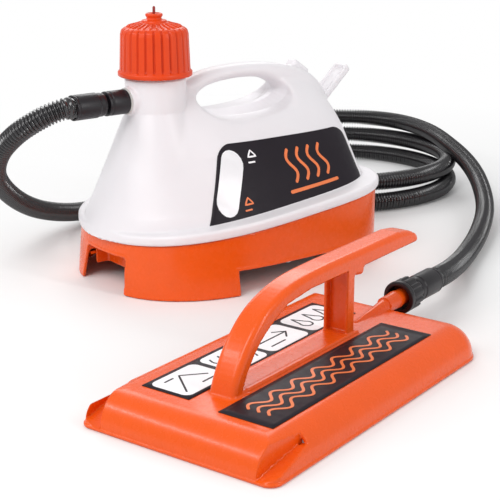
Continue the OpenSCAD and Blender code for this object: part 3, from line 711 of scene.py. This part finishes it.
def cap_profile():
    """The cap's section, from its rim over the top and back down the inside."""
    z = CAP_Z
    top = cap_high[2] - z
    skirt = [[CAP_RIM_R, z + 0.8], [CAP_RIM_R, z + 4.2],
             [CAP_RIM_R - 0.8, z + 5.2], [CAP_RIM_R - 2, z + 5.8]]
    side = [[CAP_RIM_R - 2 - 1.5 * t, z + 6.4 + 37 * t] for t in np.linspace(0, 1, 16)]
    shoulder = spline([[CAP_RIM_R - 3.8, z + 44.5], [CAP_RIM_R - 5.0, z + 48], [CAP_RIM_R - 8.4, z + 50.4],
                       [27, z + 51.6], [20, z + 53.4], [14.5, z + 55.6], [13, z + 57.6], [11, z + 58.2]], 6)
    boss = [[8.8, z + 58.4], [8.0, z + 59.4], [7.8, z + 60.4], [9.0, z + 62.2], [9.2, z + 63.4],
            [8.6, z + top - 0.6], [7.4, z + top], [5.6, z + top - 2.2], [1.7, z + top - 2.6], [1.7, z + 52]]
    inner = [[5.0, z + 50], [5.0, z + 40], [29, z + 35.5], [30.1, z + 34], [30.1, z + 3], [33.4, z + 2.2],
             [33.4, z + 0.2], [CAP_RIM_R - 0.8, z]]
    return np.vstack([skirt, side, shoulder, boss, inner, skirt[:1]])


cap = lathe("cap_shell", cap_profile(), CAP_ORANGE, (NECK_X, 0, 0), columns=RIBS * 18, shape=cap_shape)
stand_for(cap, "cap", "cap_plastic", "cap")


SPRING_WIRE, SPRING_TURNS = 0.45, 4
spring_low, spring_high = span("valve_spring")
spring_r = (spring_high[0] - spring_low[0]) / 2 - SPRING_WIRE
spring_t = np.linspace(0, 1, 24 * SPRING_TURNS)
spring_a = 2 * math.pi * SPRING_TURNS * spring_t
spring_z = spring_low[2] + SPRING_WIRE + (spring_high[2] - spring_low[2] - 2 * SPRING_WIRE) * spring_t
spring_path = np.stack([NECK_X + spring_r * np.cos(spring_a), spring_r * np.sin(spring_a), spring_z], 1)
spring = sweep("relief_spring", spring_path, np.full(len(spring_path), SPRING_WIRE), STEEL, sides=10)
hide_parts("valve_spring")
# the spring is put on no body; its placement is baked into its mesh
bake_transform(spring)


# ---------------------------------------------------------------- collars, sleeves and hose
def ribbed(count, depth, low, high, duty=0.5):
    """Raised lugs round a collar between two heights."""
    def shape(radius, height, angle):
        phase = (angle * count / (2 * math.pi)) % 1
        lug = smooth((duty / 2 + 0.04 - np.abs(phase - 0.5)) / 0.08)
        band = smooth((height - low) / 0.6) * smooth((high - height) / 0.6) * (radius > 12.4)
        return radius - depth * (1 - lug) * band, height
    return shape


collar_low, collar_high = span("outlet_collar")
collar_len = collar_high[0] - collar_low[0]
profile = bevelled([[12.9, 0], [12.9, collar_len - 5], [12.3, collar_len - 4.4], [12.3, collar_len - 3.6],
                    [12.9, collar_len - 3], [12.9, collar_len], [8.05, collar_len], [8.05, 0]], 0.5)
outlet_collar = lathe("outlet_collar_ring", profile, BLACK, (collar_high[0], 0, OUTLET_Z), axis=(-1, 0, 0),
                      columns=144, shape=ribbed(12, 0.45, 3, collar_len - 7, 0.62))
stand_for(outlet_collar, "outlet_collar", "black_plastic", "outlet_collar")

sleeve_low, sleeve_high = span("outlet_sleeve")
sleeve_len = sleeve_high[0] - sleeve_low[0]


def sleeve_profile(length, hose_r):
    """A hose sleeve: a stepped nose, a long plain body and a rolled rim where the hose enters."""
    return bevelled([[10.4, 0], [11.8, 1.2], [12.4, 4], [12.4, 8.5], [13.2, 9.5], [13.2, length - 4],
                     [12.9, length - 3.4], [12.9, length - 2.6], [13.2, length - 2], [13.2, length],
                     [hose_r + 0.15, length], [hose_r + 0.15, length - 12.5],
                     [8.05, length - 12.5], [8.05, 0]], 0.6)


HOSE_R = 11.5
outlet_sleeve = lathe("outlet_sleeve_tube", sleeve_profile(sleeve_len, HOSE_R), BLACK,
                      (sleeve_high[0], 0, OUTLET_Z), axis=(-1, 0, 0))
stand_for(outlet_sleeve, "boiler", "black_plastic", "outlet_sleeve")

plate_axis = tuple(PLATE_U)
SLEEVE_U, SLEEVE_L, COLLAR_U, COLLAR_L = 204.0, 41.0, 177.0, 24.0
plate_sleeve = lathe("plate_sleeve_tube", sleeve_profile(SLEEVE_L, HOSE_R), BLACK,
                     on_plate([SLEEVE_U, 0, SPOUT_Z]), axis=plate_axis)
stand_for(plate_sleeve, "plate_sleeve", "black_plastic", "plate_sleeve")
profile = bevelled([[15.6, 0], [16.4, 0.8], [16.4, 5], [15.6, 6.4], [16.2, 7.2], [16.2, COLLAR_L - 1.5],
                    [15.4, COLLAR_L], [8.05, COLLAR_L], [8.05, 12], [12.2, 12], [12.2, 0]], 0.5)
plate_collar = lathe("plate_collar_ring", profile, BLACK, on_plate([COLLAR_U, 0, SPOUT_Z]), axis=plate_axis,
                     columns=144, shape=ribbed(12, 1.7, 6.8, COLLAR_L + 3, 0.55))
stand_for(plate_collar, "plate_collar", "black_plastic", "plate_collar")

COIL_R = 155.0
LAYER = 2 * HOSE_R + 1
outlet_mouth = sleeve_low[0]


def coil_point(a):
    """The coil at an angle in degrees.

    A turn lies flat, then climbs one layer and shifts over in the last third of its round.
    """
    turns = (110 - a) / 360
    whole = math.floor(turns)
    climb = float(smooth((turns - whole - 0.64) / 0.26))
    shift = min(whole + climb, 1)
    turn = math.radians(a)
    return [337 + 8 * shift + COIL_R * math.cos(turn), 191 + 9 * shift + COIL_R * math.sin(turn),
            HOSE_R + LAYER * (whole + climb)]


TOP = 2 * LAYER + HOSE_R
first_run = spline([[outlet_mouth + 12.3, 0, OUTLET_Z], [outlet_mouth, 0, OUTLET_Z],
                    [outlet_mouth - 11, 0, OUTLET_Z], [-221, 12, 187], [-238, 36, 168], [-241, 70, 141],
                    [-226, 108, 108], [-187, 147, 71], [-134, 185, 40],
                    [-70, 215, 20], [0, 243, HOSE_R + 1], [90, 272, HOSE_R], [190, 304, HOSE_R],
                    coil_point(110)], 12)
coil = np.array([coil_point(a) for a in np.arange(107, -610, -3)])
LEAVES_COIL = [461, 92, 53]
last_run = spline([[347, 358, TOP], [420, 343, TOP], [477, 303, TOP], [502, 240, TOP], [491, 166, TOP - 1],
                   LEAVES_COIL, [431, 29, 44], [392, -29, 33], [340, -86, 21], [270, -141, 14],
                   [190, -194, 14], [120, -240, 24], on_plate([260, 0, SPOUT_Z]),
                   on_plate([245, 0, SPOUT_Z]), on_plate([233.5, 0, SPOUT_Z])], 12)
whole_path = np.vstack([first_run, coil, last_run])
RIDGE_PITCH = 4.0
PER_RIDGE = 6
RIDGE_DEPTHS = np.array([2.7, 1.9, 0.5, 0, 0.5, 1.9])
whole_path = even(whole_path, RIDGE_PITCH / PER_RIDGE)
phase = np.arange(len(whole_path)) % PER_RIDGE
ridge_radius = HOSE_R - RIDGE_DEPTHS[phase]
leave = int(np.argmin(np.linalg.norm(whole_path - np.array(LEAVES_COIL), axis=1)))
leave -= leave % PER_RIDGE
hose_coil = sweep("hose_coil", whole_path[:leave + 1], ridge_radius[:leave + 1], HOSE)
stand_for(hose_coil, "boiler", "hose_black", "hose")
hose_lead = sweep("hose_lead", whole_path[leave:], ridge_radius[leave:], HOSE)
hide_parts("hose")
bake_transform(hose_lead)


# ---------------------------------------------------------------- steam plate
def rect_distance(u, v, half_u, half_v, r):
    a, b = abs(u) - (half_u - r), abs(v) - (half_v - r)
    return np.sqrt(np.maximum(a, 0) ** 2 + np.maximum(b, 0) ** 2) + np.minimum(np.maximum(a, b), 0) - r


SLOPE = 27.0


def plate_skin(u, v, z, inset, drop):
    """The plate's rounded form, inset all round and with its top dropped."""
    r = np.where((u > 0) & (v < 0), 30.0, 12.0)
    e = rect_distance(u, v, PLATE_L / 2 - 1.6 - inset, PLATE_W / 2 - 1.6 - inset, r)
    top, foot = PLATE_H - drop, 3.0 - drop
    across, up = (e + SLOPE) / SLOPE, (z - foot) / (top - foot)
    round_edge = (np.sqrt(np.maximum(across, 0) ** 2 + np.maximum(up, 0) ** 2) - 1) * (top - foot)
    return np.maximum(np.maximum(round_edge, np.where(up > 0, -1e3, e)), z - top)


# Side views (u, z) of the handle's arch, post and grip, and of the hand hole.
HANDLE_OUTER = np.vstack([
    spline([[-114, PLATE_H - 4], [-105.5, 47], [-90.5, 69], [-69, 88],
            [-42, 99.5], [-10, 105.5], [30, GRIP_Z]], 5),
    spline([[150, GRIP_Z], [170, GRIP_Z - 3], [183, GRIP_Z - 9], [181, GRIP_Z - 18], [150, GRIP_Z - 24]], 4),
    [[84, GRIP_Z - 24], [72, GRIP_Z - 22], [72, PLATE_H - 4]]])
HANDLE_HOLE = np.vstack([[[58, PLATE_H + 3.5], [58, GRIP_Z - 14], [0, GRIP_Z - 13.5]],
                         spline([[-35, 89.5], [-58, 78.5], [-76, 66], [-90.5, 49],
                                 [-98.5, PLATE_H + 3.5]], 5)])


def corner_notch(u, v, z, grown=0.0):
    """The wedge cut along each front corner of the plate, open at the front edge."""
    across = abs(v) - 98 + np.where(v > 0, 6.0, 0.0)
    wall = (-across - 16 + 0.1 * (u + 150)) / 1.005
    ramp = (3.5 + 0.26 * (u + 171) + 0.12 * (across + 8) - z) / 1.04
    return np.maximum(np.maximum(wall, ramp), np.maximum(u + 119, v - 92)) - grown


def plate_distance(u, v, z):
    skin = plate_skin(u, v, z, 0, 0)
    corner_r = np.where((u > 0) & (v < 0), 31.0, 12.0)
    rim = rect_distance(u, v, PLATE_L / 2 - 0.4, PLATE_W / 2 - 0.4, corner_r)
    flange = slab(rim, np.abs(z - 1.5) - 1.5, 1.0)
    solid = cut(join(skin, flange, 1.0), corner_notch(u, v, z), 0.8)
    w = v - GRIP_V
    loop = polygon_distance(u, z, HANDLE_OUTER)
    hole = polygon_distance(u, z, HANDLE_HOLE)
    bar = cut(slab(loop, abs(w) - GRIP_W / 2, 5.5), np.maximum(hole, abs(w) - 60), 1.0)
    channel = np.maximum(np.maximum(hole - 6.5, abs(w) - GRIP_W / 2 + 3.2), PLATE_H + 3.5 - z)
    bar = cut(bar, channel, 0.8)
    under = box_distance(u, w, z, (144, 0, GRIP_Z - 30), (60, GRIP_W / 2 - 3.2, 25), 3)
    short = box_distance(u, w, z, (144, -GRIP_W, GRIP_Z - 40), (60, GRIP_W - 4, 25), 3)
    bar = cut(bar, np.minimum(under, short), 0.8)
    solid = join(solid, bar, 3.0)
    plinth = box_distance(u, w, z, (-8, 0, PLATE_H + 0.5), (84, 14, 3), 1.2)
    solid = join(solid, plinth, 2.0)
    along = np.clip((u - 98) / 72, 0, 1)
    cone = np.sqrt(v * v + (z - SPOUT_Z + 1.5 * (1 - along)) ** 2) - (0.5 + 8.3 * along)
    cone = keep(np.maximum(cone, 98 - u), u - 174, 1.0)
    tube = np.maximum(np.sqrt(v * v + (z - SPOUT_Z) ** 2) - 7.95, np.abs(u - 190) - 40)
    solid = join(join(solid, cone, 2.5), tube, 0.8)
    hollow = np.maximum(plate_skin(u, v, z, WALL, WALL), -corner_notch(u, v, z, 3.2))
    solid = cut(solid, hollow, 1.0)
    # the steam slot at the inner end of each notch
    slot = np.maximum(corner_notch(u - 14, v, z, -1.6), np.abs(u + 112) - 9)
    slot = np.maximum(slot, plate_skin(u, v, z, 2.2, 2.2))
    solid = cut(solid, slot, 0.6)
    bore = np.maximum(np.sqrt(v * v + (z - SPOUT_Z) ** 2) - 5.5, 196 - u)
    return keep(cut(solid, bore, 0.5), -z, 0.8)


plate = surface("steam_plate_shell", plate_distance, (-PLATE_L / 2 - 4, -PLATE_W / 2 - 4, -3),
                (232, PLATE_W / 2 + 4, GRIP_Z + 3), 1.5, ORANGE, place=on_plate)
stand_for(plate, "steam_plate", "orange_plastic", "steam_plate")


def patch(name, outlines, finish, lift, thick=0.35):
    """Flat printed shapes on the plate's top face, each given by its outline."""
    points, faces = [], []
    for outline in outlines:
        base, n = len(points), len(outline)
        points.extend(on_top(outline, lift))
        points.extend(on_top(outline, lift - thick))
        faces.append([base + i for i in range(n)])
        faces.append([base + n + i for i in range(n - 1, -1, -1)])
        faces.extend([base + i, base + n + i, base + n + (i + 1) % n, base + (i + 1) % n] for i in range(n))
    return make_mesh(name, points, faces, finish, shade=False)


def straight_side(u):
    """A straight side for a sheet, square to the plate's length."""
    return lambda v: np.full_like(v, float(u))


def round_rect(u0, v0, u1, v1, r, steps=6):
    out = []
    quarters = ((u1 - r, v1 - r, 0), (u0 + r, v1 - r, 90), (u0 + r, v0 + r, 180), (u1 - r, v0 + r, 270))
    for cu, cv, start in quarters:
        out += [[cu + r * math.cos(math.radians(start + 90 * i / steps)),
                 cv + r * math.sin(math.radians(start + 90 * i / steps))] for i in range(steps + 1)]
    return out


badge = sheet("plate_badge", straight_side(-136), straight_side(111), -72, -20, on_top, 0.6,
              LABEL, 0.5, rows=6, columns=30)
stand_for(badge, "steam_plate", "label_dark", "badge_label")
wave_t = np.linspace(0, 1, 120)
badge_wave = 5 * np.sin(2 * math.pi * 7 * wave_t)
badge_lines = [np.stack([-118 + 212 * wave_t, -46 + o + badge_wave], 1) for o in (-10, 0, 10)]
badge_print = stroke("plate_badge_print", badge_lines, 2.6, on_top, 0.85, PRINT_ORANGE)
stand_for(badge_print, "steam_plate", "orange_plastic")
guide = sheet("plate_guide", straight_side(-131), straight_side(120), 13, 62, on_top, 0.6,
              LABEL, 0.5, rows=6, columns=30)
stand_for(guide, "steam_plate", "label_light", "guide_label")


PANELS = [(-127, -70), (-64, -14), (-8, 50), (56, 116)]
guide_panels = patch("plate_guide_panels", [round_rect(a, 17, b, 58, 7) for a, b in PANELS], PRINT_WHITE, 0.8)
stand_for(guide_panels, "steam_plate", "label_light")


def pictures():
    """Generic pictures: a plate held to a wall, steam, an arrow, and drops."""
    t = np.linspace(0, 1, 16)
    lines = [[(-120, 24), (-98, 50), (-80, 34)], [(-116, 50), (-106, 50)], [(-96, 26), (-78, 26)]]
    lines += [np.stack([-56 + 11 * k + 2.6 * np.sin(2 * math.pi * t), 24 + 26 * t], 1) for k in range(4)]
    lines += [[(0, 38), (40, 38)], [(30, 46), (40, 38), (30, 30)], [(2, 26), (22, 26)], [(2, 50), (22, 50)]]
    for k in range(3):
        cu, turn = 68 + 18 * k, np.linspace(-0.25, 1.25, 14) * math.pi
        lines.append([(cu, 51)] + [(cu + 6 * math.cos(a), 34 - 6 * math.sin(a)) for a in turn] + [(cu, 51)])
    return lines


guide_print = stroke("plate_guide_print", pictures(), 1.7, on_top, 0.98, LABEL)
stand_for(guide_print, "steam_plate", "label_dark")

# ---------------------------------------------------------------- stage
FLOOR_HALF, FLOOR_Z = 6.0, -0.0005
floor_mesh = bpy.data.meshes.new("floor")
floor_corners = [(a * FLOOR_HALF, b * FLOOR_HALF, FLOOR_Z) for a, b in ((-1, -1), (1, -1), (1, 1), (-1, 1))]
floor_mesh.from_pydata(floor_corners, [], [(0, 1, 2, 3)])
floor = bpy.data.objects.new("floor", floor_mesh)
bpy.context.scene.collection.objects.link(floor)
floor_mat = bpy.data.materials.new("floor")
floor_mat.use_nodes = True
floor_tree = floor_mat.node_tree
floor_shader = floor_tree.nodes["Principled BSDF"]
floor_shader.inputs["Base Color"].default_value = (0.88, 0.88, 0.88, 1)
floor_shader.inputs["Roughness"].default_value = 0.9
# away from the object the floor fades into the white of the world
reach = floor_tree.nodes.new("ShaderNodeVectorMath")
reach.operation = "LENGTH"
floor_tree.links.new(floor_tree.nodes.new("ShaderNodeTexCoord").outputs["Object"], reach.inputs[0])
fade = floor_tree.nodes.new("ShaderNodeMapRange")
fade.inputs["From Min"].default_value = 0.42
fade.inputs["From Max"].default_value = 1.05
floor_tree.links.new(reach.outputs["Value"], fade.inputs["Value"])
glow = floor_tree.nodes.new("ShaderNodeEmission")
mix = floor_tree.nodes.new("ShaderNodeMixShader")
floor_tree.links.new(fade.outputs["Result"], mix.inputs["Fac"])
floor_tree.links.new(floor_shader.outputs["BSDF"], mix.inputs[1])
floor_tree.links.new(glow.outputs["Emission"], mix.inputs[2])
floor_tree.links.new(mix.outputs["Shader"], floor_tree.nodes["Material Output"].inputs["Surface"])
floor.data.materials.append(floor_mat)

scene = bpy.context.scene
scene.view_settings.view_transform = "Standard"
scene.view_settings.look = "None"
world = bpy.data.worlds.new("studio")
scene.world = world
world.use_nodes = True
world_tree = world.node_tree
background = world_tree.nodes["Background"]
background.inputs["Color"].default_value = (1, 1, 1, 1)
# the camera sees full white, while the world lights the object less strongly
is_camera = world_tree.nodes.new("ShaderNodeLightPath").outputs["Is Camera Ray"]
seen = world_tree.nodes.new("ShaderNodeMapRange")
seen.inputs["To Min"].default_value = 0.6
seen.inputs["To Max"].default_value = 1.0
world_tree.links.new(is_camera, seen.inputs["Value"])
world_tree.links.new(seen.outputs["Result"], background.inputs["Strength"])


def area(name, place, target, width, height, power):
    light = bpy.data.lights.new(name, "AREA")
    light.shape = "RECTANGLE"
    light.size, light.size_y, light.energy = width, height, power
    obj = bpy.data.objects.new(name, light)
    obj.location = place
    obj.rotation_euler = (Vector(target) - Vector(place)).to_track_quat("-Z", "Y").to_euler()
    scene.collection.objects.link(obj)


area("key", (-1.3, -0.6, 1.5), (0, -0.1, 0.05), 0.7, 0.9, 12)
area("strip", (-1.35, 0.22, 0.95), (-0.34, -0.38, 0.02), 1.4, 0.14, 6)
area("back", (0.8, 1.4, 1.3), (0, 0, 0.1), 1.6, 0.8, 12)
area("side", (0.35, -1.35, 0.75), (0.0, -0.1, 0.1), 0.12, 0.9, 5)

camera = bpy.data.cameras.new("camera")
camera.lens = 93.6
eye = bpy.data.objects.new("camera", camera)
eye.location = (-0.8434, -1.1479, 0.445)
HEADING = (0.6088, 0.7934)
ELEVATION = math.radians(17)
view = Vector((HEADING[0] * math.cos(ELEVATION), HEADING[1] * math.cos(ELEVATION), -math.sin(ELEVATION)))
eye.rotation_euler = view.to_track_quat("-Z", "Y").to_euler()
scene.collection.objects.link(eye)
scene.camera = eye
